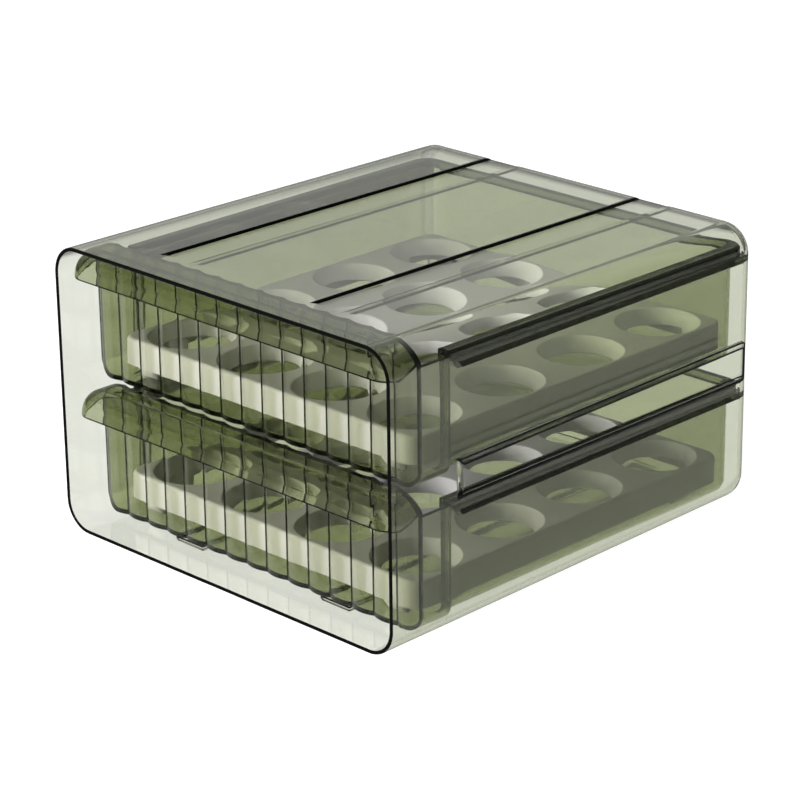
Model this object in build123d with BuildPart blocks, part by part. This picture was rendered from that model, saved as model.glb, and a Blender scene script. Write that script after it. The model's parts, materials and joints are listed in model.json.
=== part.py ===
from build123d import *
import math
import os

os.makedirs("parts", exist_ok=True)

# Frame: origin at the bottom centre, front towards -Y, right side towards +X
# Depths are given from the front rim, heights from the named level beside them

# Housing: one clear moulding, open at the front
housing_width = 224
housing_depth = 251
housing_height = 146
housing_corner_radius = 15
housing_wall = 2.0
housing_floor = 1.8
housing_draft = 1.5
housing_rear_radius = 8
arch_rise = 2.4
arch_half = 90
arch_length = 230

# Gaps between the pieces
floor_gap = 0.5
roof_gap = 1.6
tier_gap = 2.3
bay_side_gap = 2.5
flange_side_gap = 1.0
flange_rear_gap = 1.2
rail_side_gap = 0.5
rail_gap = 0.3
tray_side_gap = 1.9
tray_front_gap = 3.5
tray_rear_gap = 2.7

# Feet: two hollow ribs under the floor
foot_height = 1.2
foot_spacing = 100.6
foot_width = 18.6
foot_wall = 2.0
foot_start = 24.5
foot_end_inset = 8
foot_length = housing_depth - foot_end_inset - foot_start
foot_root = foot_height + arch_rise

# Channels in the roof, which take the feet of a second unit
channel_play = 1.4
channel_width = foot_width + channel_play
channel_depth = 1.5
channel_start = 22
channel_ramp = 5
channel_bulge_lag = 2.5

# Drawer: fluted front with a rolled handle lip, wide front bay and tub
drawer_wall = 1.8
front_start = 22
bay_length = 20
front_end = front_start + bay_length
front_half = housing_width / 2 - housing_wall - bay_side_gap
front_top_radius = 13
front_bottom_radius = 9
step_radius = 1.5
lower_bottom = housing_floor + arch_rise + floor_gap
drawer_height = (housing_height - housing_wall - roof_gap - lower_bottom - tier_gap) / 2
tier_pitch = drawer_height + tier_gap
bay_drop = 10.1
bay_top = drawer_height - bay_drop

# Flutes: convex ribs across the drawer front, all of one thickness
flute_count = 15
flute_margin = 1.0
flute_pitch = 2 * (front_half - flute_margin) / flute_count
flute_rise = 1.6
panel_thickness = 2.0

# Flange round the tub's rim, turned down at its edge
flange_lap = 0.6
flange_start = front_end - flange_lap
flange_half = housing_width / 2 - housing_draft - housing_wall - flange_side_gap
flange_rear = housing_depth - housing_wall - flange_rear_gap
flange_drop = 8.0
flange_top = drawer_height - flange_drop
flange_depth = 4.7
flange_corner_radius = 9
flange_edge_chamfer = 1.0

# Handle lip: rolled forward from the top of the front
lip_start = 3.5
lip_roll_radius = 9
lip_wall = 1.8
lip_depth = 13.7
skirt_bottom = drawer_height - lip_depth
end_wall_foot = 10
end_wall_rise = 4.2

# Rails: angle ledges that carry the drawers' flanges
rail_start_gap = 3
rail_start = front_end + rail_start_gap
rail_end_slope = 3.6
rail_reach = 6.8
rail_inner_half = housing_width / 2 - housing_wall - rail_reach
rail_plate = 2.2
rail_lip = 2.0
rail_height = 5.1
lower_rail_top = lower_bottom + flange_top - flange_depth - rail_gap

# Tub behind the front bay, which passes between the rails
tub_half = rail_inner_half - rail_side_gap
tub_rear = flange_rear - drawer_wall
tub_corner_radius = 8
tub_bottom_radius = 8

# Bands: long shallow recesses in both sides, just above the lower drawer's flange
band_depth = 2.0
band_start = 43.6
band_front_run = 5
band_gap = 2.4
band_bottom = lower_bottom + flange_top + band_gap
band_bottom_run = 0.6
band_height = 17
band_top = band_bottom + band_height
band_top_run = 3.8
band_top_rise = 2.0

# Egg tray: perforated plate with a skirt and short legs
tray_half = tub_half - drawer_wall - tray_side_gap
tray_start = front_start + panel_thickness + tray_front_gap
tray_end = tub_rear - drawer_wall - tray_rear_gap
tray_length = tray_end - tray_start
tray_corner_radius = 8
tray_top = 19.1
tray_skirt_bottom = 5.6
tray_wall = 2.0
tray_edge_chamfer = 1.5
egg_columns = 4
egg_rows = 4
egg_hole_top_radius = 20.8
egg_hole_bottom_radius = 16.2
egg_edge_margin = 2.7
egg_side_inset = egg_hole_top_radius + egg_edge_margin
egg_column_pitch = 2 * (tray_half - egg_side_inset) / (egg_columns - 1)
egg_row_pitch = (tray_length - 2 * egg_side_inset) / (egg_rows - 1)
collar_sides = 20
collar_depth = 7
collar_wall = 1.6
leg_length = 10
leg_thickness = 2.0
leg_inset = 4.5
side_leg_inset = 27
end_leg_inset = 16.5

# Extra length that carries a cut clear of the solid
clear = 1.0

front_y = -housing_depth / 2
body_bottom = foot_height
body_top = foot_height + housing_height


def closing(depth):
    """How far a drafted wall has closed in at a depth from the front rim"""
    return housing_draft * depth / housing_depth


def upright_plane(depth):
    """Plane across the object, its normal to the rear and its second axis up"""
    return Plane(origin=(0, front_y + depth, 0), x_dir=(-1, 0, 0), z_dir=(0, 1, 0))


def lengthwise_plane(x):
    """Plane along the object from the front rim, its normal to the right"""
    return Plane(origin=(x, front_y, 0), x_dir=(0, 1, 0), z_dir=(1, 0, 0))


draft_angle = math.degrees(math.atan(housing_draft / housing_depth))
arch_tilt = math.degrees(math.atan(arch_rise / arch_length))
arch_radius = (arch_half**2 + arch_rise**2) / (2 * arch_rise)


# Drafted box with soft corners and rounded rear edges, at some inset from the outer form
def housing_form(wall, floor):
    height = housing_height - wall - floor
    with BuildPart() as form:
        with BuildSketch(upright_plane(0)):
            with Locations((0, body_bottom + floor + height / 2)):
                Rectangle(housing_width - 2 * wall, height)
        extrude(amount=housing_depth - wall)
        draft(
            form.faces().filter_by(Axis.Y, reverse=True),
            upright_plane(0),
            draft_angle,
        )
        fillet(form.edges().group_by(Axis.Y)[1], radius=housing_corner_radius - wall)
        fillet(
            form.faces().sort_by(Axis.Y)[-1].edges(),
            radius=housing_rear_radius - wall,
        )
        # Shallow arch under the floor, which runs out towards the rear
        with Locations(
            Location(
                (0, front_y + arch_length / 2, body_bottom + arch_rise / 2 - arch_radius),
                (90 + arch_tilt, 0, 0),
            )
        ):
            Cylinder(arch_radius + floor, 3 * arch_length, mode=Mode.SUBTRACT)
    return form.part


with BuildPart() as envelope:
    add(housing_form(0, 0))

with BuildPart() as cavity:
    add(housing_form(housing_wall, housing_floor))


# Side wall plane of the housing, which closes in towards the rear
wall_slope = housing_draft / housing_depth
side_wall_plane = Plane(
    origin=(housing_width / 2, front_y, body_bottom),
    x_dir=(-wall_slope, 1, 0),
    z_dir=(1, wall_slope, 0),
)


# Outline of a band at some depth into the wall, grown to keep the wall's thickness
def band_outline(depth, grow):
    share = depth / band_depth
    start = band_start + share * band_front_run - grow * math.hypot(1, band_front_run / band_depth)
    low = band_bottom + share * band_bottom_run - grow * math.hypot(1, band_bottom_run / band_depth)
    high = band_top - share * band_top_run + grow * math.hypot(1, band_top_run / band_depth)
    with BuildSketch(side_wall_plane.offset(-depth)) as outline:
        with BuildLine():
            Polyline(
                (start, low),
                (housing_depth + clear, low),
                (housing_depth + clear, high + band_top_rise),
                (start, high),
                close=True,
            )
        make_face()
    return outline.sketch


with BuildPart() as band_recess:
    loft(sections=[band_outline(0, 0), band_outline(band_depth, 0)], ruled=True)
    mirror(about=Plane.YZ)

# Inside, the band stands out as a bulge above the lower drawer's flange
with BuildPart() as band_bulge:
    loft(
        sections=[
            band_outline(housing_wall - band_depth / 2, housing_wall),
            band_outline(housing_wall + band_depth, housing_wall),
        ],
        ruled=True,
    )
    mirror(about=Plane.YZ)


# Side view of a rail or of its lip, sloped at the front end
def rail_outline(x, top, height):
    with BuildSketch(lengthwise_plane(x)) as outline:
        with BuildLine():
            Polyline(
                (rail_start, top),
                (housing_depth, top),
                (housing_depth, top - height),
                (rail_start + rail_end_slope * height / rail_height, top - height),
                close=True,
            )
        make_face()
    return outline.sketch


with BuildPart() as rails:
    for tier in range(2):
        tier_top = body_bottom + lower_rail_top + tier * tier_pitch
        extrude(
            rail_outline(rail_inner_half, tier_top, rail_plate),
            amount=housing_width / 2 - rail_inner_half,
        )
        extrude(rail_outline(rail_inner_half, tier_top, rail_height), amount=rail_lip)
    mirror(about=Plane.YZ)


# Side view of a roof channel: a ramp at the front, then level with the roof
def channel_outline(start, depth, cover):
    with BuildSketch(lengthwise_plane(0)) as outline:
        with BuildLine():
            Polyline(
                (start, body_top - closing(start) - depth + channel_depth),
                (start + channel_ramp, body_top - closing(start + channel_ramp) - depth),
                (housing_depth + clear, body_top - closing(housing_depth + clear) - depth),
                (housing_depth + clear, body_top - depth + cover),
                (start, body_top - depth + cover),
                close=True,
            )
        make_face()
    return outline.sketch


channel_places = [(-foot_spacing / 2, 0, 0), (foot_spacing / 2, 0, 0)]

with BuildPart() as channels:
    with Locations(*channel_places):
        add(
            extrude(
                channel_outline(channel_start, channel_depth, channel_depth + clear),
                amount=channel_width / 2,
                both=True,
                mode=Mode.PRIVATE,
            )
        )

with BuildPart() as channel_bulges:
    with Locations(*channel_places):
        add(
            extrude(
                channel_outline(
                    channel_start + channel_bulge_lag,
                    channel_depth + housing_wall,
                    channel_depth + housing_wall / 2,
                ),
                amount=channel_width / 2 + housing_wall,
                both=True,
                mode=Mode.PRIVATE,
            )
        )


# Everything that stands inside the shell, trimmed to the outer form
with BuildPart() as fittings:
    add(rails.part)
    add(band_bulge.part)
    add(channel_bulges.part)
    add(envelope.part, mode=Mode.INTERSECT)

with BuildPart() as housing:
    add(envelope.part)
    add(cavity.part, mode=Mode.SUBTRACT)
    add(fittings.part)
    # Feet under the floor, open to the inside as grooves
    for side in (-1, 1):
        with Locations((side * foot_spacing / 2, front_y + foot_start, 0)):
            Box(
                foot_width,
                foot_length,
                foot_root,
                align=(Align.CENTER, Align.MIN, Align.MIN),
            )
        with Locations((side * foot_spacing / 2, front_y + foot_start + foot_wall, housing_floor)):
            Box(
                foot_width - 2 * foot_wall,
                foot_length - 2 * foot_wall,
                foot_root + clear,
                align=(Align.CENTER, Align.MIN, Align.MIN),
                mode=Mode.SUBTRACT,
            )
    add(band_recess.part, mode=Mode.SUBTRACT)
    add(channels.part, mode=Mode.SUBTRACT)

housing.part.label = "housing"
export_step(housing.part, "parts/housing.step")


# Front view of a drawer, inset for the hollow of the lip
def front_outline(depth, base, bottom, inset, bottom_radius):
    height = drawer_height - bottom - inset
    with BuildSketch(upright_plane(depth)) as outline:
        with Locations((0, base + bottom + height / 2)):
            Rectangle(2 * (front_half - inset), height)
        fillet(outline.vertices().group_by(Axis.Y)[-1], radius=front_top_radius - inset)
        if bottom_radius:
            fillet(outline.vertices().group_by(Axis.Y)[0], radius=bottom_radius)
    return outline.sketch


# Tub or its hollow: bottom edges and rear corners rounded
def tub_block(base, inset, height):
    length = tub_rear - inset - front_start
    with BuildPart() as block:
        with BuildSketch(Plane.XY.offset(base + inset)):
            with Locations((0, front_y + front_start + length / 2)):
                Rectangle(2 * (tub_half - inset), length)
        extrude(amount=height - inset)
        fillet(
            block.edges().filter_by(Axis.Z).group_by(Axis.Y)[-1],
            radius=tub_corner_radius - inset,
        )
        fillet(
            block.faces().sort_by(Axis.Z)[0].edges().sort_by(Axis.Y)[1:],
            radius=tub_bottom_radius - inset,
        )
    return block.part


# Wide bay behind the drawer front, or its hollow
def bay_block(base, inset, height):
    length = front_end - inset - front_start
    with BuildPart() as block:
        with BuildSketch(Plane.XY.offset(base + inset)):
            with Locations((0, front_y + front_start + length / 2)):
                Rectangle(2 * (front_half - inset), length)
        extrude(amount=height - inset)
        fillet(
            block.edges().filter_by(Axis.Y).group_by(Axis.Z)[0],
            radius=front_bottom_radius - inset,
        )
        if not inset:
            fillet(
                block.edges().filter_by(Axis.Z).group_by(Axis.Y)[-1],
                radius=step_radius,
            )
    return block.part


# Flange outline seen from above, with rounded rear corners
def flange_block(low, high, half, start, rear, radius):
    length = rear - start
    with BuildPart() as block:
        with BuildSketch(Plane.XY.offset(low)):
            with Locations((0, front_y + start + length / 2)):
                Rectangle(2 * half, length)
        extrude(amount=high - low)
        fillet(block.edges().filter_by(Axis.Z).group_by(Axis.Y)[-1], radius=radius)
    return block.part


# Lip solid: the drawer's own outline, its front edge rolled over
def lip_block(base, inset, depth):
    with BuildPart() as block:
        extrude(
            front_outline(lip_start + inset, base, skirt_bottom - 2 * clear, inset, 0),
            amount=depth - lip_start - inset,
        )
        front = block.faces().sort_by(Axis.Y)[0]
        fillet(front.edges().sort_by(Axis.Z)[1:], radius=lip_roll_radius - inset)
    return block.part


def make_drawer(base, label):
    crease_y = front_y + front_start
    first_crease = flute_margin - front_half

    # Fluted front panel cut to the drawer's outline
    with BuildPart() as panel:
        with BuildSketch(Plane.XY.offset(base)):
            with BuildLine():
                for y in (crease_y, crease_y + panel_thickness):
                    for flute in range(flute_count):
                        left = first_crease + flute * flute_pitch
                        ThreePointArc(
                            (left, y),
                            (left + flute_pitch / 2, y - flute_rise),
                            (left + flute_pitch, y),
                        )
                    Line((-front_half, y), (first_crease, y))
                    Line((-first_crease, y), (front_half, y))
                for x in (-front_half, front_half):
                    Line((x, crease_y), (x, crease_y + panel_thickness))
            make_face()
        extrude(amount=drawer_height)
        extrude(
            front_outline(front_start, base, 0, 0, front_bottom_radius),
            amount=panel_thickness,
            both=True,
            mode=Mode.INTERSECT,
        )

    # Rolled lip, open below so that fingers reach behind it
    with BuildPart() as lip:
        add(lip_block(base, 0, front_start))
        add(lip_block(base, lip_wall, front_start + clear), mode=Mode.SUBTRACT)
        with Locations((0, front_y + front_start / 2, base + skirt_bottom)):
            Box(
                2 * front_half + clear,
                front_start + clear,
                front_start,
                align=(Align.CENTER, Align.CENTER, Align.MAX),
                mode=Mode.SUBTRACT,
            )
        # End walls rise from the skirt to the panel
        with BuildSketch(lengthwise_plane(0)):
            with BuildLine():
                Polyline(
                    (end_wall_foot, base + skirt_bottom),
                    (front_start, base + skirt_bottom + end_wall_rise),
                    (front_start, base + skirt_bottom),
                    close=True,
                )
            make_face()
        extrude(amount=front_half + clear, both=True, mode=Mode.SUBTRACT)

    # Flange with its edge turned down
    with BuildPart() as flange:
        add(
            flange_block(
                base + flange_top - flange_depth,
                base + flange_top,
                flange_half,
                flange_start,
                flange_rear,
                flange_corner_radius,
            )
        )
        chamfer(
            flange.faces().sort_by(Axis.Z)[-1].edges().sort_by(Axis.Y)[1:],
            length=flange_edge_chamfer,
        )
        add(
            flange_block(
                base + flange_top - flange_depth,
                base + flange_top - drawer_wall,
                flange_half - drawer_wall,
                front_end,
                tub_rear,
                flange_corner_radius - drawer_wall,
            ),
            mode=Mode.SUBTRACT,
        )

    with BuildPart() as drawer:
        add(tub_block(base, 0, flange_top))
        add(bay_block(base, 0, bay_top))
        add(flange.part)
        add(tub_block(base, drawer_wall, flange_top + clear), mode=Mode.SUBTRACT)
        add(bay_block(base, drawer_wall, flange_top + clear), mode=Mode.SUBTRACT)
        add(panel.part)
        add(lip.part)

    drawer.part.label = label
    return drawer.part


# Many-sided frustum for a collar or its hole, standing on its small end
def collar_form(base, low_radius, height, flare):
    with BuildPart() as form:
        with BuildSketch(Plane.XY.offset(base)):
            RegularPolygon(low_radius, collar_sides)
        extrude(amount=height)
        draft(
            form.faces().filter_by(Axis.Z, reverse=True),
            Plane.XY.offset(base),
            -math.degrees(math.atan(flare)),
        )
    return form.part


def make_tray(floor, label):
    centre_y = front_y + (tray_start + tray_end) / 2
    plate_bottom = tray_top - tray_wall
    collar_low = tray_top - collar_depth
    flare = (egg_hole_top_radius - egg_hole_bottom_radius) / collar_depth
    collar = collar_form(
        floor + collar_low,
        egg_hole_bottom_radius + collar_wall,
        plate_bottom - collar_low,
        flare,
    )
    hole = collar_form(floor + collar_low, egg_hole_bottom_radius, collar_depth, flare)

    with BuildPart() as tray:
        with BuildSketch(Plane.XY.offset(floor + tray_skirt_bottom)):
            with Locations((0, centre_y)):
                RectangleRounded(2 * tray_half, tray_length, tray_corner_radius)
        extrude(amount=tray_top - tray_skirt_bottom)
        chamfer(tray.faces().sort_by(Axis.Z)[-1].edges(), length=tray_edge_chamfer)
        with BuildSketch(Plane.XY.offset(floor + tray_skirt_bottom)):
            with Locations((0, centre_y)):
                RectangleRounded(
                    2 * (tray_half - tray_wall),
                    tray_length - 2 * tray_wall,
                    tray_corner_radius - tray_wall,
                )
        extrude(amount=plate_bottom - tray_skirt_bottom, mode=Mode.SUBTRACT)

        # Legs: gussets that stand inside the rounding of the drawer's floor edge
        for side in (-1, 1):
            for along in (-1, 1):
                with BuildSketch(
                    Plane(
                        origin=(0, centre_y + along * (tray_length / 2 - side_leg_inset), floor),
                        x_dir=(side, 0, 0),
                        z_dir=(0, -side, 0),
                    )
                ):
                    with BuildLine():
                        Polyline(*leg_points(tray_half), close=True)
                    make_face()
                extrude(amount=leg_length / 2, both=True)
                with BuildSketch(
                    Plane(
                        origin=(along * (tray_half - end_leg_inset), centre_y, floor),
                        x_dir=(0, side, 0),
                        z_dir=(side, 0, 0),
                    )
                ):
                    with BuildLine():
                        Polyline(*leg_points(tray_length / 2), close=True)
                    make_face()
                extrude(amount=leg_length / 2, both=True)

        # Conical collars that the eggs sit in
        with Locations((0, centre_y, 0)):
            with GridLocations(egg_column_pitch, egg_row_pitch, egg_columns, egg_rows):
                add(collar)
            with GridLocations(egg_column_pitch, egg_row_pitch, egg_columns, egg_rows):
                add(hole, mode=Mode.SUBTRACT)

    tray.part.label = label
    return tray.part


# Section of a leg, measured outwards from the tray's middle and up from its floor
def leg_points(half):
    outer = half - leg_inset
    inner = outer - leg_thickness
    plate_bottom = tray_top - tray_wall
    return [
        (inner, 0),
        (outer, 0),
        (half - tray_wall / 2, tray_skirt_bottom),
        (half - tray_wall / 2, plate_bottom),
        (inner, plate_bottom),
    ]


lower_base = body_bottom + lower_bottom
upper_base = lower_base + tier_pitch

upper_drawer = make_drawer(upper_base, "upper_drawer")
export_step(upper_drawer, "parts/upper_drawer.step")

lower_drawer = make_drawer(lower_base, "lower_drawer")
export_step(lower_drawer, "parts/lower_drawer.step")

upper_egg_tray = make_tray(upper_base + drawer_wall, "upper_egg_tray")
export_step(upper_egg_tray, "parts/upper_egg_tray.step")

lower_egg_tray = make_tray(lower_base + drawer_wall, "lower_egg_tray")
export_step(lower_egg_tray, "parts/lower_egg_tray.step")
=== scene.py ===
# %% [markdown]
# # Egg storage drawer
# A clear box for eggs in two tiers. The housing and its two drawers are moulded in tinted transparent
# plastic, and each drawer carries a loose white tray with round egg holes.
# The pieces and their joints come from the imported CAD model, which is the frame of this scene. This
# script dresses them: soft moulded edges first, then the finishes, the trays, the light and the camera.
# Lengths are in metres, and millimetres are written as a number times MM.

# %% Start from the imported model
import json
import math

import bmesh
import bpy
from mathutils import Matrix, Vector
from mathutils.bvhtree import BVHTree

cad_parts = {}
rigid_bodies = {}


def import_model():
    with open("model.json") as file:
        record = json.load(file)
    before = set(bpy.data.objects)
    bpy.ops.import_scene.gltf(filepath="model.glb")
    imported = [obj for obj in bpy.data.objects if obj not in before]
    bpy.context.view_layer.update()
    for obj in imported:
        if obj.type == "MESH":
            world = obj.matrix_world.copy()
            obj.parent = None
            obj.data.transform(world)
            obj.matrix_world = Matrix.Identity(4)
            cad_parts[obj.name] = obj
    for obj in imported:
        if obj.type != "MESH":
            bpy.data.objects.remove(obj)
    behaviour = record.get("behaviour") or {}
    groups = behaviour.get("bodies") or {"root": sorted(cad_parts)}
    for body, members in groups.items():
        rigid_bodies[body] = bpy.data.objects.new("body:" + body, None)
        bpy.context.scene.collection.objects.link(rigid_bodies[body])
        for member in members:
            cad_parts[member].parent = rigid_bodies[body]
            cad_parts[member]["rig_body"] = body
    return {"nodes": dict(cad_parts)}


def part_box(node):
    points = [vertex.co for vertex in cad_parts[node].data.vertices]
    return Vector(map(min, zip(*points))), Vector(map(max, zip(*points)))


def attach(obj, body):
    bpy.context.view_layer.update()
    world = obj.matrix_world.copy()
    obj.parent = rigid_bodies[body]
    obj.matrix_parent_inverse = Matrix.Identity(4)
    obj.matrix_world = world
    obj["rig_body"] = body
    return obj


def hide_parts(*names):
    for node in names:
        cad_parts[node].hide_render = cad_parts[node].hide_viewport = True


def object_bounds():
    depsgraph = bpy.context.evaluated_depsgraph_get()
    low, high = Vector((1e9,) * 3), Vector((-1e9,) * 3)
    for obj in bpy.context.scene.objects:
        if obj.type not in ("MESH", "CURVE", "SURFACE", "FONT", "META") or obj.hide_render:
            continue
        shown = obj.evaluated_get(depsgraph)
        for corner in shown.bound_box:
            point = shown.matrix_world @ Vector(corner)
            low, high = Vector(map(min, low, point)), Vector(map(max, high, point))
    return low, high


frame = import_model()
cad_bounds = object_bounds()
MM = 0.001
TIERS = ("upper", "lower")
print("nodes in the frame:", sorted(frame["nodes"]))

# %% Levels and limits read from the frame
housing_low, housing_high = cad_bounds
half_width = housing_high[0]
rim_y = housing_low[1]
rear_y = housing_high[1]
roof_z = housing_high[2]
drawer_bases = [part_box(tier + "_drawer")[0][2] for tier in TIERS]
print("drawers stand at heights", [round(base / MM, 2) for base in drawer_bases], "mm")


# %% [markdown]
# ## Where a clear moulding looks dark
# Light that enters a clear wall at its edge runs along inside the wall and comes out tinted or not at
# all. That is why a rim, a fold or a narrow ledge looks nearly black while the wall beside it is pale.
# It could be left to the ray tracer, but thin edges would then need far more samples and bounces. So
# this shade is painted on: each face carries a value of painted shade, from 0 for a plain wall to 1 for
# a black line, and the plastic reads it later. A rule takes a face's middle and its normal and says how
# dark the face is painted. A few wider faces, such as the rail plates and the drawers' side walls, are
# painted darker as well.

# %% Painted shade of the housing
# how dark each kind of housing face is painted, as painted shade from 0 for none to 1 for black
RIM_SHADE = 1.0
RAIL_SHADE = 0.98
PLATE_SHADE = 0.6
CHANNEL_SHADE = 0.7
REAR_SHADE = 0.25

# %% Where the housing's narrow faces are
RIM_BAND = 0.5 * MM
RAIL_RISE = 54.7 * MM
RAIL_HEIGHT = 5.1 * MM
RAIL_SLACK = 0.2 * MM
RAIL_REACH = (half_width - 10 * MM, half_width - 4.2 * MM)
RAIL_END = rear_y - 3 * MM
REAR_ROUND_START = rear_y - 11 * MM
CHANNEL_HALF = (39 * MM, 62 * MM)
CHANNEL_DEPTH = 4.5 * MM
SQUARE_ON = 0.7
TURNED = 0.2
rail_tops = [base + RAIL_RISE for base in drawer_bases]


def housing_painted_shade(middle, normal):
    """Painted shade on the front rim, the rails, the rounded rear edges and the walls of the roof
    channels
    """
    if middle.y < rim_y + RIM_BAND:
        return RIM_SHADE
    at_rail = any(top - RAIL_HEIGHT - RAIL_SLACK < middle.z < top + RAIL_SLACK for top in rail_tops)
    if at_rail and RAIL_REACH[0] < abs(middle.x) < RAIL_REACH[1] and middle.y < RAIL_END:
        return PLATE_SHADE if abs(normal.z) > SQUARE_ON else RAIL_SHADE
    rounds_rear = normal.y > TURNED and (abs(normal.x) > TURNED or normal.z > TURNED)
    if rounds_rear and middle.y > REAR_ROUND_START:
        return REAR_SHADE
    by_channel = CHANNEL_HALF[0] < abs(middle.x) < CHANNEL_HALF[1]
    if by_channel and middle.z > roof_z - CHANNEL_DEPTH and abs(normal.x) > SQUARE_ON:
        return CHANNEL_SHADE
    return 0.0


print("rails end at heights", [round(top / MM, 2) for top in rail_tops], "mm")

# %% Painted shade of a drawer
# how dark each kind of drawer face is painted, as painted shade from 0 for none to 1 for black
PANEL_EDGE_SHADE = 0.995
LIP_SHADE = 0.3
LIP_END_SHADE = 0.1
FLANGE_SHADE = 0.95
FLANGE_TOP_SHADE = 0.55
FLANGE_REAR_SHADE = 0.6
STEP_SHADE = 0.4
SIDE_SHADE = 0.15

# %% Where a drawer's narrow faces are
PANEL_Y = (rim_y + 20 * MM, rim_y + 24.5 * MM)
PANEL_EDGE_X = half_width - 5.6 * MM
LIP_REAR_Y = rim_y + 21 * MM
LIP_END_X = half_width - 12 * MM
LIP_TOP_LEAN = 0.5
FLANGE_RISE = 55.0 * MM
FLANGE_HEIGHT = 4.7 * MM
FLANGE_SLACK = 0.1 * MM
FLANGE_START = rim_y + 41 * MM
FLANGE_IN = half_width - 10.5 * MM
FLANGE_REAR_Y = rear_y - 9 * MM
STEP_Y = rim_y + 42 * MM
STEP_BAND = 2 * MM
STEP_X = half_width - 10 * MM
SIDE_X = half_width - 12 * MM
FLAT = 0.97
flange_bottoms = [base + FLANGE_RISE for base in drawer_bases]


def front_painted_shade(middle, normal):
    """Painted shade on the front panel's cut edges and the handle lip"""
    if PANEL_Y[0] < middle.y < PANEL_Y[1] and abs(middle.x) > PANEL_EDGE_X:
        return PANEL_EDGE_SHADE
    if middle.y < LIP_REAR_Y and abs(middle.x) > LIP_END_X:
        return LIP_END_SHADE
    if middle.y < LIP_REAR_Y and normal.z > LIP_TOP_LEAN:
        return LIP_SHADE
    return 0.0


def flange_painted_shade(middle, normal):
    """Painted shade on the flange that runs on the rails: its edge is painted darker than its top and
    its rear
    """
    if abs(middle.x) > FLANGE_IN:
        return FLANGE_TOP_SHADE if abs(normal.z) > SQUARE_ON else FLANGE_SHADE
    return FLANGE_REAR_SHADE if middle.y > FLANGE_REAR_Y else 0.0


def drawer_painted_shade(middle, normal):
    """Painted shade on the front, the flange, the step behind the front bay and the side walls, in that
    order
    """
    painted_shade = front_painted_shade(middle, normal)
    at_flange = any(
        bottom - FLANGE_SLACK < middle.z < bottom + FLANGE_HEIGHT + FLANGE_SLACK
        for bottom in flange_bottoms
    )
    if not painted_shade and at_flange and middle.y > FLANGE_START:
        painted_shade = flange_painted_shade(middle, normal)
    if painted_shade:
        return painted_shade
    if abs(middle.y - STEP_Y) < STEP_BAND and abs(middle.x) > STEP_X and abs(normal.x) < FLAT:
        return STEP_SHADE
    return SIDE_SHADE if abs(normal.x) > FLAT and abs(middle.x) > SIDE_X else 0.0


print("flanges start at heights", [round(bottom / MM, 2) for bottom in flange_bottoms], "mm")


# %% [markdown]
# ## Soft edges on a moulded piece
# An injection moulding has no knife edges: each one is rounded by a few tenths of a millimetre, and
# the rounding is what catches the light. A Bevel modifier could round them, but it knows nothing of
# the painted shade. So a copy of the solid is merged and bevelled in a bmesh, and the new narrow faces
# along its edges are painted fully dark.
# Where several edges meet at a shallow angle, a bevel can throw a corner off the solid. Such a point
# is drawn back to the nearest place on the solid as it was before.

# %% Round the sharp edges
SHARP = math.radians(22)
ROUND_STEPS = 2
# the narrow faces of a bevel are painted fully dark
EDGE_SHADE = 1.0


def round_edges(bm, radius, painted_shade):
    """Bevels the sharp edges, paints full shade on the narrow new faces and says how many edges there
    were
    """
    sharp = [edge for edge in bm.edges if len(edge.link_faces) == 2 and edge.calc_face_angle() > SHARP]
    rounded = bmesh.ops.bevel(
        bm,
        geom=sharp,
        offset=radius,
        offset_type="OFFSET",
        affect="EDGES",
        segments=ROUND_STEPS,
        profile=0.5,
        material=-1,
        clamp_overlap=False,
    )
    for face in rounded["faces"]:
        if 2 * face.calc_area() / face.calc_perimeter() < radius:
            face[painted_shade] = EDGE_SHADE
    return len(sharp)


# %% Draw stray points back
def draw_back(bm, surface, reach):
    """Puts points that lie farther off a surface than the reach back on it and counts them"""
    strays = 0
    for vert in bm.verts:
        nearest, _, _, distance = surface.find_nearest(vert.co)
        if distance > reach:
            vert.co = nearest
            strays += 1
    return strays


# %% [markdown]
# ## A piece in place of a node
# Each finished mesh stands in for one solid of the CAD model and moves with the same body.
# Clear plastic shows every bent normal, so the large walls have to stay flat while the roundings
# between them are smooth. Marking the edges sharp would keep the walls flat but lose the roundings.
# Weighted normals do both: each corner takes its normal mostly from the largest face beside it.

# %% Add a piece
FLAT_WEIGHT = 50


def add_piece(mesh, name, node, finish):
    mesh.materials.append(finish)
    piece = bpy.data.objects.new(name, mesh)
    bpy.context.scene.collection.objects.link(piece)
    piece.modifiers.new("flat walls", "WEIGHTED_NORMAL").weight = FLAT_WEIGHT
    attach(piece, frame["nodes"][node]["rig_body"])
    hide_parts(node)
    print(name, "stands in for", node, "with", len(mesh.polygons), "faces")


# %% A moulded copy of a node
WELD = 0.002 * MM
STRAY = 0.5


def moulded_copy(node, name, edge_radius, face_painted_shade, finish):
    mesh = frame["nodes"][node].data.copy()
    mesh.name = name
    bm = bmesh.new()
    bm.from_mesh(mesh)
    bmesh.ops.remove_doubles(bm, verts=bm.verts, dist=WELD)
    # each face gets painted shade from its piece's rule, as a value the plastic reads
    painted_shade = bm.faces.layers.float.new("painted_edge_shade")
    for face in bm.faces:
        face[painted_shade] = face_painted_shade(face.calc_center_median(), face.normal)
    surface = BVHTree.FromBMesh(bm)
    sharp_edges = round_edges(bm, edge_radius, painted_shade)
    strays = draw_back(bm, surface, STRAY * edge_radius)
    for face in bm.faces:
        face.smooth = True
    bm.to_mesh(mesh)
    bm.free()
    if "custom_normal" in mesh.attributes:
        mesh.attributes.remove(mesh.attributes["custom_normal"])
    mesh.materials.clear()
    add_piece(mesh, name, node, finish)
    print(name, "rounded edges", sharp_edges, "points drawn back", strays)


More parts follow.
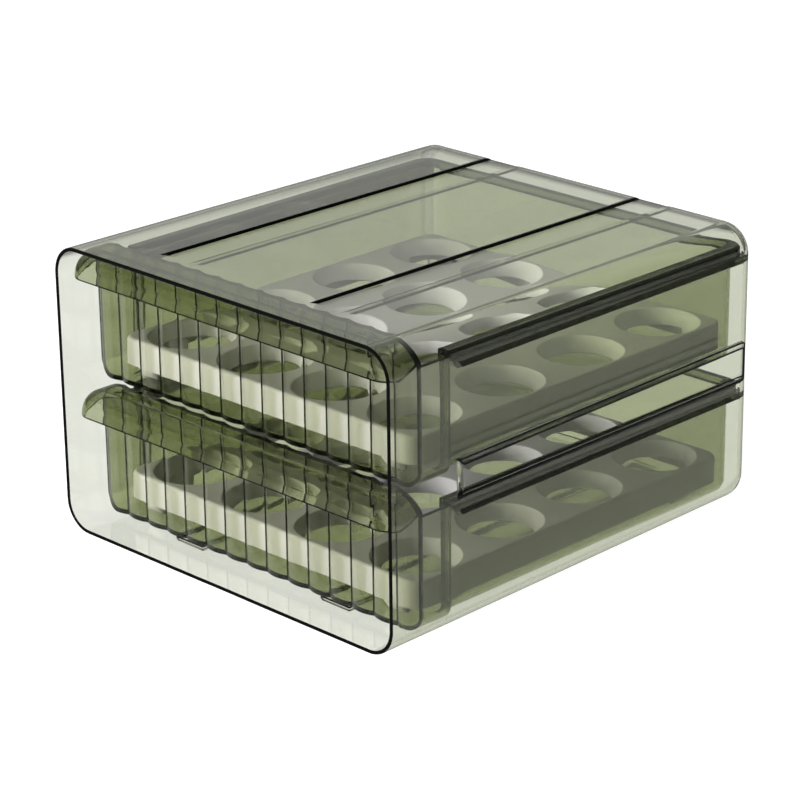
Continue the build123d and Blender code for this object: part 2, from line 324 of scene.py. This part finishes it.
# %% [markdown]
# ## Nodes in few words
# Every finish below is a small tree of shader nodes. It could be put together by hand in the editor,
# but a script keeps every value in view. These helpers add a node with its settings and the values of
# its inputs, map one range of values to another, and combine values or shaders.

# %% Helpers for shader nodes
def add_node(tree, kind, values=None, **settings):
    node = tree.nodes.new(kind)
    for name, value in settings.items():
        setattr(node, name, value)
    for name, value in (values or {}).items():
        node.inputs[name].default_value = value
    return node


def ramp(tree, low, high, start=0, end=1):
    """Rises or falls from low at the start to high at the end, and is held level outside"""
    limits = {"From Min": start, "From Max": end, "To Min": low, "To Max": high}
    return add_node(tree, "ShaderNodeMapRange", limits)


def combined(tree, operation, first, second):
    """A product or maximum of an output and either another output or a number"""
    result = add_node(tree, "ShaderNodeMath", operation=operation)
    tree.links.new(first, result.inputs[0])
    if isinstance(second, (int, float)):
        result.inputs[1].default_value = second
    else:
        tree.links.new(second, result.inputs[1])
    return result.outputs["Value"]


def mixed_shader(tree, factor, first, second):
    """The first shader where the factor is 0 and the second where it is 1"""
    mix = add_node(tree, "ShaderNodeMixShader")
    tree.links.new(factor, mix.inputs["Fac"])
    tree.links.new(first, mix.inputs[1])
    tree.links.new(second, mix.inputs[2])
    return mix.outputs["Shader"]


# %% [markdown]
# ## Clear tinted plastic
# The walls are transparent and tinted right through, so the colour comes from the depth of plastic
# that light crosses. A surface colour would tint every wall alike, thick or thin. A glass shader with
# absorption in its volume does what the plastic does: pale through one wall, deep through many.
# The painted edge shade darkens the light that passes a narrow face, down to a near-black shade colour.
# A faint slow bump stands for the waviness of a moulded face.

# %% Surface of the clear plastic
PLASTIC_IOR = 1.53
WAVE_DETAIL = 1
PURE_WHITE = (1, 1, 1, 1)


def clear_surface(tree, edge_shade_colour, wave_height, wave_scale):
    # painted edge shade: light through a face goes from white to the near-black shade colour as its
    # value rises
    narrow = add_node(tree, "ShaderNodeAttribute", attribute_name="painted_edge_shade")
    edge_shaded = add_node(tree, "ShaderNodeMix", {"A": PURE_WHITE, "B": (*edge_shade_colour, 1)}, data_type="RGBA")
    coords = add_node(tree, "ShaderNodeTexCoord")
    wave = add_node(tree, "ShaderNodeTexNoise", {"Scale": wave_scale, "Detail": WAVE_DETAIL})
    bump = add_node(tree, "ShaderNodeBump", {"Strength": 1, "Distance": wave_height})
    shader = add_node(
        tree, "ShaderNodeBsdfPrincipled", {"Transmission Weight": 1, "IOR": PLASTIC_IOR, "Roughness": 0}
    )
    tree.links.new(narrow.outputs["Fac"], edge_shaded.inputs["Factor"])
    tree.links.new(edge_shaded.outputs["Result"], shader.inputs["Base Color"])
    tree.links.new(coords.outputs["Object"], wave.inputs["Vector"])
    tree.links.new(wave.outputs["Fac"], bump.inputs["Height"])
    tree.links.new(bump.outputs["Normal"], shader.inputs["Normal"])
    return shader.outputs["BSDF"]


# %% [markdown]
# A ray tracer gives clear things black shadows, because light that bends in them rarely finds a lamp.
# So shadow rays pass straight through, tinted by a lamp colour of their own.

# %% The whole finish
def clear_plastic(name, depth_colour, density, edge_shade_colour, lamp_colour, wave_height, wave_scale):
    material = bpy.data.materials.new(name)
    material.use_nodes = True
    tree = material.node_tree
    tree.nodes.clear()
    surface = clear_surface(tree, edge_shade_colour, wave_height, wave_scale)
    pass_lamps = add_node(tree, "ShaderNodeBsdfTransparent", {"Color": (*lamp_colour, 1)})
    absorb = add_node(
        tree, "ShaderNodeVolumeAbsorption", {"Color": (*depth_colour, 1), "Density": density}
    )
    path = add_node(tree, "ShaderNodeLightPath")
    output = add_node(tree, "ShaderNodeOutputMaterial")
    seen = mixed_shader(tree, path.outputs["Is Shadow Ray"], surface, pass_lamps.outputs["BSDF"])
    tree.links.new(seen, output.inputs["Surface"])
    tree.links.new(absorb.outputs["Volume"], output.inputs["Volume"])
    print(name, "absorbs", density, "per metre")
    return material


smoke = clear_plastic(
    "smoke_clear",
    depth_colour=(0.35, 0.42, 0.06),
    density=125,
    edge_shade_colour=(0.0006, 0.0007, 0.0015),
    lamp_colour=(1, 1, 1),
    wave_height=0.01 * MM,
    wave_scale=25,
)
olive = clear_plastic(
    "olive_clear",
    depth_colour=(0.43, 0.49, 0.13),
    density=440,
    edge_shade_colour=(0.002, 0.003, 0.001),
    lamp_colour=(0.84, 0.8, 1),
    wave_height=0.02 * MM,
    wave_scale=60,
)


# %% [markdown]
# ## White tray plastic
# The trays are opaque white with a satin mould finish. One flat colour would look like paint on a
# screen, so slow noise varies the white by a few hundredths and the gloss a little more, and a fine
# bump gives the skin of the mould.

# %% White plastic
CLOUD_SCALE = 35
CLOUD_DETAIL = 2
CLOUD_RANGE = (0.35, 0.65)
GRAIN_SCALE = 2500
GRAIN_STRENGTH = 0.3
GRAIN_HEIGHT = 0.01 * MM
WHITES = ((0.68, 0.67, 0.7, 1), (0.73, 0.72, 0.75, 1))
SATIN = (0.34, 0.46)


def white_plastic(name):
    material = bpy.data.materials.new(name)
    material.use_nodes = True
    tree = material.node_tree
    shader = tree.nodes["Principled BSDF"]
    coords = add_node(tree, "ShaderNodeTexCoord")
    cloud = add_node(tree, "ShaderNodeTexNoise", {"Scale": CLOUD_SCALE, "Detail": CLOUD_DETAIL})
    satin = ramp(tree, *SATIN)
    grain = add_node(tree, "ShaderNodeTexNoise", {"Scale": GRAIN_SCALE})
    bump = add_node(tree, "ShaderNodeBump", {"Strength": GRAIN_STRENGTH, "Distance": GRAIN_HEIGHT})
    shade = add_node(tree, "ShaderNodeValToRGB")
    for stop, place, colour in zip(shade.color_ramp.elements, CLOUD_RANGE, WHITES):
        stop.position = place
        stop.color = colour
    tree.links.new(coords.outputs["Object"], cloud.inputs["Vector"])
    tree.links.new(coords.outputs["Object"], grain.inputs["Vector"])
    tree.links.new(cloud.outputs["Fac"], shade.inputs["Fac"])
    tree.links.new(cloud.outputs["Fac"], satin.inputs["Value"])
    tree.links.new(grain.outputs["Fac"], bump.inputs["Height"])
    tree.links.new(shade.outputs["Color"], shader.inputs["Base Color"])
    tree.links.new(satin.outputs["Result"], shader.inputs["Roughness"])
    tree.links.new(bump.outputs["Normal"], shader.inputs["Normal"])
    print(name, "roughness from", SATIN[0], "to", SATIN[1])
    return material


white = white_plastic("tray_white")


# %% [markdown]
# ## Housing and drawers
# The housing is one moulding, open at the front, with rails inside for the drawers. The two drawers
# come from one mould, so one loop dresses both. They could be modelled again here, but their CAD
# solids already have every wall, rib and fold, so only the small roundings of the mould are added.

# %% Dress the clear pieces
HOUSING_EDGE = 0.48 * MM
DRAWER_EDGE = 0.42 * MM

moulded_copy("housing", "clear_housing", HOUSING_EDGE, housing_painted_shade, smoke)
for tier in TIERS:
    drawer = tier + "_drawer"
    clear_drawer = tier + "_clear_drawer"
    moulded_copy(drawer, clear_drawer, DRAWER_EDGE, drawer_painted_shade, olive)


# %% [markdown]
# ## Egg trays
# A tray is one skin of even thickness: a plate whose outer edge rolls down into a skirt and whose
# holes roll down into cones. It could be cut from a block with Booleans, but their cuts leave thin
# triangles and no rounding. So only the upper side is modelled: the plate is filled between the
# outline and the hole rings, each border is extruded down a rolled profile, and the skin is thickened.
# The outline is set by the tray's own box, so the piece keeps its place in the frame.

# %% Sizes of a tray
WALL = 2.0 * MM
SKIRT_LIFT = 5.6 * MM
CORNER = 8 * MM
EDGE_ROLL = 1.6 * MM
RIM_ROLL = 1.2 * MM
HOLE_TOP = 20.8 * MM
HOLE_LOW = 16.2 * MM
HOLE_DEPTH = 7 * MM
EDGE_MARGIN = 2.7 * MM
HOLE_STEPS = 40
ROLL_STEPS = 5
HOLE_PLACES = (-1, -1 / 3, 1 / 3, 1)
LEVEL = 0.99
CONE_LEAN = math.atan((HOLE_TOP - HOLE_LOW) / HOLE_DEPTH)
RING_RADIUS = HOLE_TOP + RIM_ROLL * math.tan((math.pi / 2 - CONE_LEAN) / 2)
print("cones lean by", round(math.degrees(CONE_LEAN), 1), "degrees")


# %% Rolled profiles
def rolled(radius, lean, side):
    """Points (outward, down) of an edge that rolls from level to a lean from the vertical

    The side is 1 for an edge that rolls outward and -1 for one that rolls inward.
    """
    turn = math.pi / 2 - lean
    angles = [turn * step / ROLL_STEPS for step in range(1, ROLL_STEPS + 1)]
    return [(side * radius * math.sin(angle), radius * (1 - math.cos(angle))) for angle in angles]


def points_in(geometry):
    """The points among the points, edges and faces that an extrusion returns"""
    return [item for item in geometry if isinstance(item, bmesh.types.BMVert)]


def roll_down(bm, edges, anchor, profile):
    """Extrudes a border down a profile, each point straight away from its anchor"""
    last_out, last_drop = 0, 0
    for out, drop in profile:
        strip = bmesh.ops.extrude_edge_only(bm, edges=edges)["geom"]
        for vert in points_in(strip):
            away = vert.co - anchor(vert.co)
            vert.co += Vector((away.x, away.y, 0)).normalized() * (out - last_out)
            vert.co.z -= drop - last_drop
        edges = [item for item in strip if isinstance(item, bmesh.types.BMEdge) and item.is_boundary]
        last_out, last_drop = out, drop


# %% [markdown]
# ## Borders of the plate
# The plate ends in rounded corners and round holes. A rounded rectangle needs no list of points: the
# four corners of a square grid are bevelled, which puts an arc in place of each, and its face is then
# thrown away. A circle without a cap is the border of a hole.

# %% Borders of the plate
def edges_at(verts):
    """The edges at some points, each once and always in the same order"""
    return list(dict.fromkeys(edge for vert in verts for edge in vert.link_edges))


def rounded_border(bm, half_x, half_y, radius, middle):
    corners = bmesh.ops.create_grid(bm, x_segments=1, y_segments=1, size=1)["verts"]
    bmesh.ops.scale(bm, verts=corners, vec=(half_x, half_y, 1))
    bmesh.ops.translate(bm, verts=corners, vec=middle)
    bmesh.ops.bevel(
        bm,
        geom=corners,
        offset=radius,
        offset_type="OFFSET",
        affect="VERTICES",
        segments=ROLL_STEPS,
        profile=0.5,
        material=-1,
    )
    bmesh.ops.delete(bm, geom=list(bm.faces), context="FACES_ONLY")
    return edges_at(bm.verts)


def hole_border(bm, middle):
    ring = bmesh.ops.create_circle(
        bm, cap_ends=False, radius=RING_RADIUS, segments=HOLE_STEPS, matrix=Matrix.Translation(middle)
    )
    return edges_at(ring["verts"])


# %% Upper skin of a tray
def tray_skin(bm, low, high):
    middle = (low + high) / 2
    half = (high - low) / 2
    top = Vector((middle.x, middle.y, high.z))
    inset = HOLE_TOP + EDGE_MARGIN
    outline = rounded_border(bm, half.x - EDGE_ROLL, half.y - EDGE_ROLL, CORNER - EDGE_ROLL, top)
    holes = []
    for across in HOLE_PLACES:
        for along in HOLE_PLACES:
            place = top + Vector((across * (half.x - inset), along * (half.y - inset), 0))
            holes.append((place, hole_border(bm, place)))
    borders = outline + [edge for place, border in holes for edge in border]
    bmesh.ops.triangle_fill(bm, edges=borders, use_beauty=True)

    def corner_centre(point):
        across = math.copysign(half.x - CORNER, point.x - middle.x)
        along = math.copysign(half.y - CORNER, point.y - middle.y)
        return Vector((middle.x + across, middle.y + along, point.z))

    skirt_drop = high.z - low.z - SKIRT_LIFT
    roll_down(bm, outline, corner_centre, rolled(EDGE_ROLL, 0, 1) + [(EDGE_ROLL, skirt_drop)])
    cone = rolled(RIM_ROLL, CONE_LEAN, -1) + [(HOLE_LOW - RING_RADIUS, HOLE_DEPTH)]
    for place, border in holes:
        roll_down(bm, border, lambda point: place, cone)
    bmesh.ops.recalc_face_normals(bm, faces=bm.faces)
    if sum(face.normal.z for face in bm.faces if abs(face.normal.z) > LEVEL) < 0:
        bmesh.ops.reverse_faces(bm, faces=bm.faces)


# %% [markdown]
# ## The wall of a tray
# The moulding is about equally thick all over. The solidify operator would push the points in a bend
# farther than the wall's thickness, and here the wall is thicker than the radius of the rolls, so
# those points would cross each other more. So the whole skin is extruded, which also closes its
# borders, and every point of the copy sinks by the same distance along its normal.

# %% Thicken a skin
def thicken(bm, wall):
    bm.normal_update()
    underside = bmesh.ops.extrude_face_region(bm, geom=list(bm.faces), use_keep_orig=True)["geom"]
    for vert in points_in(underside):
        vert.co -= vert.normal * wall
    bmesh.ops.recalc_face_normals(bm, faces=bm.faces)


# %% [markdown]
# ## Legs
# Eight short legs lift the tray off the drawer's floor. Each is a gusset that leans from the skirt
# to a foot just inside it. A cube could be sheared into that shape, but its outline has five corners.
# So one face gets that outline and is extruded to the leg's width. The legs stay flat shaded.

# %% Legs of a tray
LEG_INSET = 4.5 * MM
LEG_THICK = 2.0 * MM
LEG_HALF = 5 * MM
SIDE_LEG_INSET = 27 * MM
END_LEG_INSET = 16.5 * MM
LEG_RISE = 12 * MM
UP = Vector((0, 0, 1))


def add_leg(bm, foot, outward):
    """A gusset at a foot point: narrow at the floor and met by the skirt above"""
    along = Vector((-outward.y, outward.x, 0))
    base = foot - along * LEG_HALF
    inner = base - outward * LEG_THICK
    outer = base + outward * (LEG_INSET - WALL / 2)
    outline = (inner, base, outer + UP * SKIRT_LIFT, outer + UP * LEG_RISE, inner + UP * LEG_RISE)
    side = bm.faces.new([bm.verts.new(point) for point in outline])
    far_side = bmesh.ops.extrude_face_region(bm, geom=[side], use_keep_orig=True)["geom"]
    bmesh.ops.translate(bm, verts=points_in(far_side), vec=along * 2 * LEG_HALF)


def add_legs(bm, low, high):
    middle = (low + high) / 2
    half = (high - low) / 2
    floor = Vector((middle.x, middle.y, low.z))
    for side in (-1, 1):
        for along in (-1, 1):
            foot = Vector((side * (half.x - LEG_INSET), along * (half.y - SIDE_LEG_INSET), 0))
            add_leg(bm, floor + foot, Vector((side, 0, 0)))
            foot = Vector((along * (half.x - END_LEG_INSET), side * (half.y - LEG_INSET), 0))
            add_leg(bm, floor + foot, Vector((0, side, 0)))
    bmesh.ops.recalc_face_normals(bm, faces=bm.faces)


# %% [markdown]
# ## Both trays
# The trays come from one mould, as the drawers do. A copy of one mesh would do for both, but each is
# made anew in its own node's box, so a tray that sits elsewhere in the frame is still in its place.

# %% Make the trays
def egg_tray(node, name, finish):
    low, high = [Vector(corner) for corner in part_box(node)]
    bm = bmesh.new()
    tray_skin(bm, low, high)
    thicken(bm, WALL)
    for face in bm.faces:
        face.smooth = True
    add_legs(bm, low, high)
    mesh = bpy.data.meshes.new(name)
    bm.to_mesh(mesh)
    bm.free()
    add_piece(mesh, name, node, finish)


for tier in TIERS:
    egg_tray(tier + "_egg_tray", tier + "_white_tray", white)


# %% [markdown]
# ## Floor
# A photographer's table is white near the object and ends where the room is dark. Seen at a slant
# through the walls, that dark room draws the black lines in clear plastic. A wide white floor would
# wash them out, and a small one would show its edge in the picture. So this floor shows each kind of
# ray something else. The camera sees it white all over, with a very faint shadow. Rays that have
# passed the plastic see it white near the object and dark farther out. Mirrored rays see a faint glow.

# %% Floor
FLOOR_HALF = 6
TABLE_RADIUS = (0.6, 0.95)
TABLE_GLOW = (1.0, 0.1)
MIRRORED_GLOW = 0.12
PLAIN_GLOW = 0.97
FLOOR_GREY = (0.25, 0.25, 0.25, 1)


def floor_paint(name):
    material = bpy.data.materials.new(name)
    material.use_nodes = True
    tree = material.node_tree
    tree.nodes.clear()
    path = add_node(tree, "ShaderNodeLightPath")
    is_mirrored = path.outputs["Is Glossy Ray"]
    is_through = path.outputs["Is Transmission Ray"]
    coords = add_node(tree, "ShaderNodeTexCoord")
    reach = add_node(tree, "ShaderNodeVectorMath", operation="LENGTH")
    table = ramp(tree, *TABLE_GLOW, *TABLE_RADIUS)
    matt = add_node(tree, "ShaderNodeBsdfDiffuse", {"Color": FLOOR_GREY})
    glow = add_node(tree, "ShaderNodeEmission", {"Color": PURE_WHITE})
    plain = add_node(tree, "ShaderNodeAddShader")
    in_plastic = add_node(tree, "ShaderNodeEmission", {"Color": PURE_WHITE})
    output = add_node(tree, "ShaderNodeOutputMaterial")
    through = combined(tree, "MULTIPLY", is_through, table.outputs["Result"])
    mirrored = combined(tree, "MULTIPLY", is_mirrored, MIRRORED_GLOW)
    seen = combined(tree, "MULTIPLY", path.outputs["Is Camera Ray"], PLAIN_GLOW)
    bent = combined(tree, "MAXIMUM", is_mirrored, is_through)
    tree.links.new(coords.outputs["Object"], reach.inputs[0])
    tree.links.new(reach.outputs["Value"], table.inputs["Value"])
    tree.links.new(seen, glow.inputs["Strength"])
    tree.links.new(combined(tree, "MAXIMUM", through, mirrored), in_plastic.inputs["Strength"])
    tree.links.new(matt.outputs["BSDF"], plain.inputs[0])
    tree.links.new(glow.outputs["Emission"], plain.inputs[1])
    surface = mixed_shader(tree, bent, plain.outputs["Shader"], in_plastic.outputs["Emission"])
    tree.links.new(surface, output.inputs["Surface"])
    return material


floor_mesh = bpy.data.meshes.new("floor")
bm = bmesh.new()
bmesh.ops.create_grid(bm, x_segments=1, y_segments=1, size=FLOOR_HALF)
bm.to_mesh(floor_mesh)
bm.free()
floor_mesh.materials.append(floor_paint("floor_white"))
floor = bpy.data.objects.new("floor", floor_mesh)
bpy.context.scene.collection.objects.link(floor)
print("floor", 2 * FLOOR_HALF, "metres wide, dark to bent rays beyond", TABLE_RADIUS[1], "metres")


# %% [markdown]
# ## Surround
# The roof mirrors what stands behind the object, and the clear walls show what is around it. In a
# studio that is a bright screen in a dark room. A modelled screen would show in the picture, so the
# world does its work: mirrored rays see it brighten towards one side, rays through the plastic see a
# dark room, and the camera sees an even pale background.

# %% Surround
BEHIND = Vector((-0.62, 0.64, 0.45)).normalized()
SCREEN_SPREAD = (0.35, 0.9)
SCREEN_GLOW = (0.06, 0.62)
SOFT_FILL = 0.16
DARK_ROOM = 0.06

world = bpy.data.worlds.new("studio")
bpy.context.scene.world = world
world.use_nodes = True
tree = world.node_tree
tree.nodes.clear()
path = add_node(tree, "ShaderNodeLightPath")
coords = add_node(tree, "ShaderNodeTexCoord")
toward = add_node(tree, "ShaderNodeVectorMath", operation="DOT_PRODUCT")
toward.inputs[1].default_value = BEHIND
screen = ramp(tree, *SCREEN_GLOW, *SCREEN_SPREAD)
room = ramp(tree, SOFT_FILL, DARK_ROOM)
bounced = ramp(tree, 0, 1)
sky = add_node(tree, "ShaderNodeBackground")
output = add_node(tree, "ShaderNodeOutputWorld")
tree.links.new(coords.outputs["Generated"], toward.inputs[0])
tree.links.new(toward.outputs["Value"], screen.inputs["Value"])
tree.links.new(path.outputs["Is Transmission Ray"], room.inputs["Value"])
tree.links.new(path.outputs["Is Glossy Ray"], bounced.inputs["Value"])
tree.links.new(room.outputs["Result"], bounced.inputs["To Min"])
tree.links.new(screen.outputs["Result"], bounced.inputs["To Max"])
strength = combined(tree, "MAXIMUM", path.outputs["Is Camera Ray"], bounced.outputs["Result"])
tree.links.new(strength, sky.inputs["Strength"])
tree.links.new(sky.outputs["Background"], output.inputs["Surface"])
print("surround: room", DARK_ROOM, "screen up to", SCREEN_GLOW[1])


# %% [markdown]
# ## Lamps
# One large soft lamp stands low at the front left: it lights the fronts of the trays and leaves the
# right sides in shade. It stands well away, because a near lamp would burn out the tray of an open
# drawer, and it is hidden from mirrored and bent rays, which would show it as a bright square in every
# wall. A small second lamp at the right adds a few sharp glints.

# %% Lamps
AIM = Vector((0, 0, 0.07))


def softbox(name, place, size, power, colour=(1, 1, 1)):
    light = bpy.data.lights.new(name, "AREA")
    light.color = colour
    light.shape = "SQUARE"
    light.size = size
    light.energy = power
    lamp = bpy.data.objects.new(name, light)
    bpy.context.scene.collection.objects.link(lamp)
    turn = (AIM - Vector(place)).to_track_quat("-Z", "Y").to_matrix().to_4x4()
    lamp.matrix_world = Matrix.Translation(place) @ turn
    return lamp


key = softbox("key", place=(-0.8, -1.2, 0.34), size=0.7, power=112, colour=(0.98, 0.97, 1.0))
key.visible_glossy = False
key.visible_transmission = False
spark = softbox("spark", place=(1.0, -0.7, 1.5), size=0.12, power=4)
print("lamps:", key.name, spark.name)


# %% [markdown]
# ## Camera
# The camera stands where the photograph was taken from: front right and a little above. Its place was
# fitted once to the edges of the housing and to the egg holes, and the pixel values belong to that
# fit. Two angles, a roll and a distance from the object's middle say where it stands, and a small
# slide in the plane of the picture takes up the rest. They could be folded into one matrix, but its
# numbers would be hard to read and to change.

# %% Where the camera stands
PICTURE_PX = 800
FOCAL_PX = 3037.71
CENTRE_PX = (433.59, 413.02)
AZIMUTH = math.radians(44.32)
ELEVATION = math.radians(21.24)
ROLL = math.radians(-0.42)
DISTANCE = 1472.03 * MM
SLIDE = (11.45 * MM, -18.29 * MM)
MIDDLE = Vector((0, 0, 74.2 * MM))

back = Vector(
    (
        math.sin(AZIMUTH) * math.cos(ELEVATION),
        -math.cos(AZIMUTH) * math.cos(ELEVATION),
        math.sin(ELEVATION),
    )
)
level_right = Vector((math.cos(AZIMUTH), math.sin(AZIMUTH), 0))
level_up = back.cross(level_right)
right = level_right * math.cos(ROLL) + level_up * math.sin(ROLL)
up = level_up * math.cos(ROLL) - level_right * math.sin(ROLL)
place = MIDDLE + right * SLIDE[0] + up * SLIDE[1] + back * DISTANCE
print("camera at", [round(value, 4) for value in place])

# %% Camera and render settings
SENSOR_WIDTH = 36
LIGHT_BOUNCES = 24
CLEAR_BOUNCES = 32

camera_data = bpy.data.cameras.new("camera")
camera_data.sensor_width = SENSOR_WIDTH
camera_data.lens = FOCAL_PX / PICTURE_PX * SENSOR_WIDTH
camera_data.shift_x = -(CENTRE_PX[0] - PICTURE_PX / 2) / PICTURE_PX
camera_data.shift_y = (CENTRE_PX[1] - PICTURE_PX / 2) / PICTURE_PX
camera = bpy.data.objects.new("camera", camera_data)
bpy.context.scene.collection.objects.link(camera)
camera.matrix_world = Matrix.Translation(place) @ Matrix((right, up, back)).transposed().to_4x4()

scene = bpy.context.scene
scene.camera = camera
scene.view_settings.view_transform = "Standard"
scene.cycles.max_bounces = LIGHT_BOUNCES
scene.cycles.transmission_bounces = LIGHT_BOUNCES
scene.cycles.transparent_max_bounces = CLEAR_BOUNCES
print("lens", round(camera_data.lens, 2), "mm")
